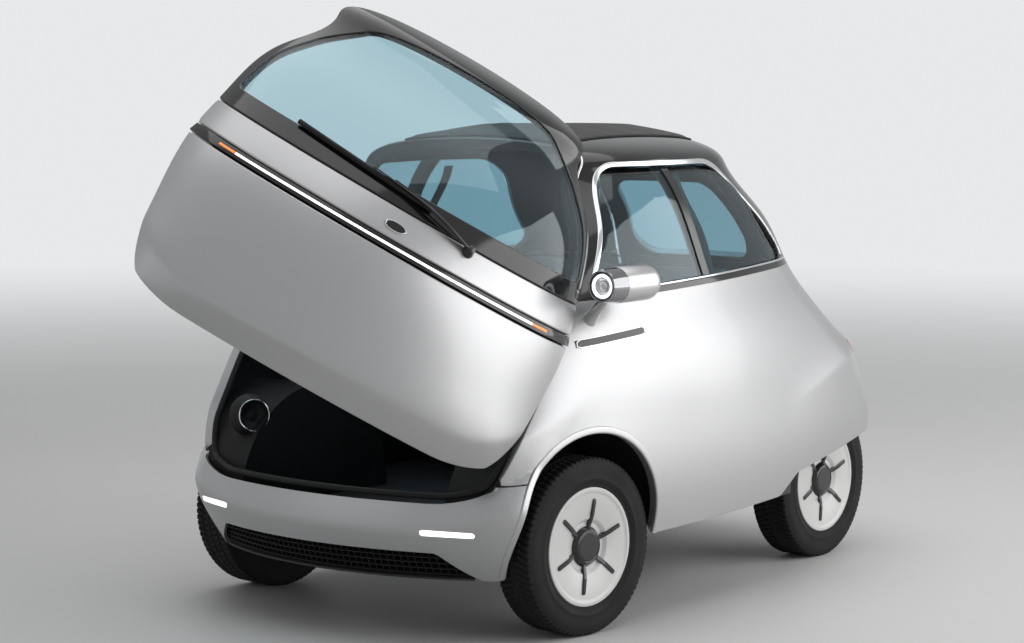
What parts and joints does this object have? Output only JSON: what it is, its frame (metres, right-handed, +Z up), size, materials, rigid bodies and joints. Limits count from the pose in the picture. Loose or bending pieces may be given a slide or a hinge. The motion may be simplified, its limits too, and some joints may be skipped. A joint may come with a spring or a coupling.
{
  "type": "microcar",
  "caption": "Two-seat bubble microcar whose whole front opens as a door, with pod headlamps, a folding cloth roof and narrow-track rear wheels.",
  "frame": {"origin": "on the ground, on the centre line, straight under the front axle", "axes": "+X towards the car's left, -Y forwards, +Z up"},
  "size_m": [1.612, 3.1669, 1.8358],
  "materials": {
    "body_paint": "satin",
    "black_paint": "gloss",
    "clear_glass": "gloss",
    "chrome_trim": "polished",
    "black_trim": "gloss",
    "dark_plastic": "matte",
    "roof_cloth": "matte",
    "seat_cloth": "matte",
    "pod_metal": "satin",
    "lamp_white": "gloss",
    "lamp_red": "gloss",
    "seal_rubber": "matte",
    "tread_rubber": "matte",
    "wheel_paint": "satin",
    "chassis_steel": "satin",
    "web_fabric": "matte",
    "motor_case": "cast"
  },
  "bodies": {
    "body": {"front_bumper": "body_paint", "front_lamps": "lamp_white", "side_panel_left": "body_paint", "side_panel_right": "body_paint", "roof_frame": "black_paint", "side_windows": "clear_glass", "window_posts": "black_trim", "sunroof_fabric": "roof_cloth", "window_trims": "chrome_trim", "shoulder_strips": "black_trim", "door_seal": "seal_rubber", "rear_lamps": "lamp_red", "rear_valance": "dark_plastic", "lower_grille": "dark_plastic", "lamp_pods": "pod_metal", "lamp_lenses": "clear_glass", "floor_pan": "chassis_steel", "boot_floor": "dark_plastic", "wheelhouse_left": "dark_plastic", "wheelhouse_right": "dark_plastic", "battery_box": "motor_case", "seat_cushion": "seat_cloth", "seat_back": "seat_cloth", "steering_column": "dark_plastic", "seat_belts": "web_fabric", "belt_reels": "dark_plastic", "footwell_speakers": "dark_plastic", "front_subframe": "chassis_steel", "front_suspension": "chassis_steel", "rear_axle": "chassis_steel", "drive_motor": "motor_case"},
    "front_door": {"door_panel": "body_paint", "windscreen_frame": "black_paint", "windscreen": "clear_glass", "light_bar": "lamp_white", "door_lining": "dark_plastic", "door_emblem": "chrome_trim", "wiper": "black_trim"},
    "tailgate": {"rear_lid": "body_paint", "rear_window": "clear_glass"},
    "steering_wheel": {"steering_wheel": "dark_plastic"},
    "front_left_steering": {"front_left_knuckle": "chassis_steel"},
    "front_right_steering": {"front_right_knuckle": "chassis_steel"},
    "front_left_roadwheel": {"front_left_tyre": "tread_rubber", "front_left_wheel": "wheel_paint"},
    "front_right_roadwheel": {"front_right_tyre": "tread_rubber", "front_right_wheel": "wheel_paint"},
    "rear_left_roadwheel": {"rear_left_tyre": "tread_rubber", "rear_left_wheel": "wheel_paint"},
    "rear_right_roadwheel": {"rear_right_tyre": "tread_rubber", "rear_right_wheel": "wheel_paint"}
  },
  "joints": [
    {"name": "front_door_hinge", "type": "hinge", "parent": "body", "child": "front_door", "pos_m": [0.672, -0.179, 0.7], "axis": [-0.1959, 0.5582, 0.8062], "range_deg": [-52, 3]},
    {"name": "tailgate_hinge", "type": "hinge", "parent": "body", "child": "tailgate", "pos_m": [0, 1.3039, 1.387], "axis": [1, 0, 0], "range_deg": [0, 70]},
    {"name": "front_left_steer", "type": "hinge", "parent": "body", "child": "front_left_steering", "pos_m": [0.59, 0, 0.2665], "axis": [0, 0, 1], "range_deg": [-22.2, 33.8]},
    {"name": "front_right_steer", "type": "hinge", "parent": "body", "child": "front_right_steering", "pos_m": [-0.59, 0, 0.2665], "axis": [0, 0, 1], "range_deg": [-22.2, 33.8]},
    {"name": "steering_wheel_turn", "type": "hinge", "parent": "body", "child": "steering_wheel", "pos_m": [0.24, 0.3, 0.81], "axis": [0, 0.766, 0.6428], "range_deg": [-288.6, 439.4]},
    {"name": "front_left_roll", "type": "hinge", "parent": "front_left_steering", "child": "front_left_roadwheel", "pos_m": [0.61288, -0.00232, 0.2665], "axis": [0.9949, -0.1011, 0], "continuous": true},
    {"name": "front_right_roll", "type": "hinge", "parent": "front_right_steering", "child": "front_right_roadwheel", "pos_m": [-0.61288, 0.00232, 0.2665], "axis": [0.9949, -0.1011, 0], "continuous": true},
    {"name": "rear_left_roll", "type": "hinge", "parent": "body", "child": "rear_left_roadwheel", "pos_m": [0.466, 1.567, 0.2665], "axis": [1, 0, 0], "continuous": true},
    {"name": "rear_right_roll", "type": "hinge", "parent": "body", "child": "rear_right_roadwheel", "pos_m": [-0.466, 1.567, 0.2665], "axis": [1, 0, 0], "continuous": true}
  ],
  "couplings": [
    {"joint": "front_right_steer", "follows": "front_left_steer", "ratio": 1},
    {"joint": "steering_wheel_turn", "follows": "front_left_steer", "ratio": 13}
  ]
}
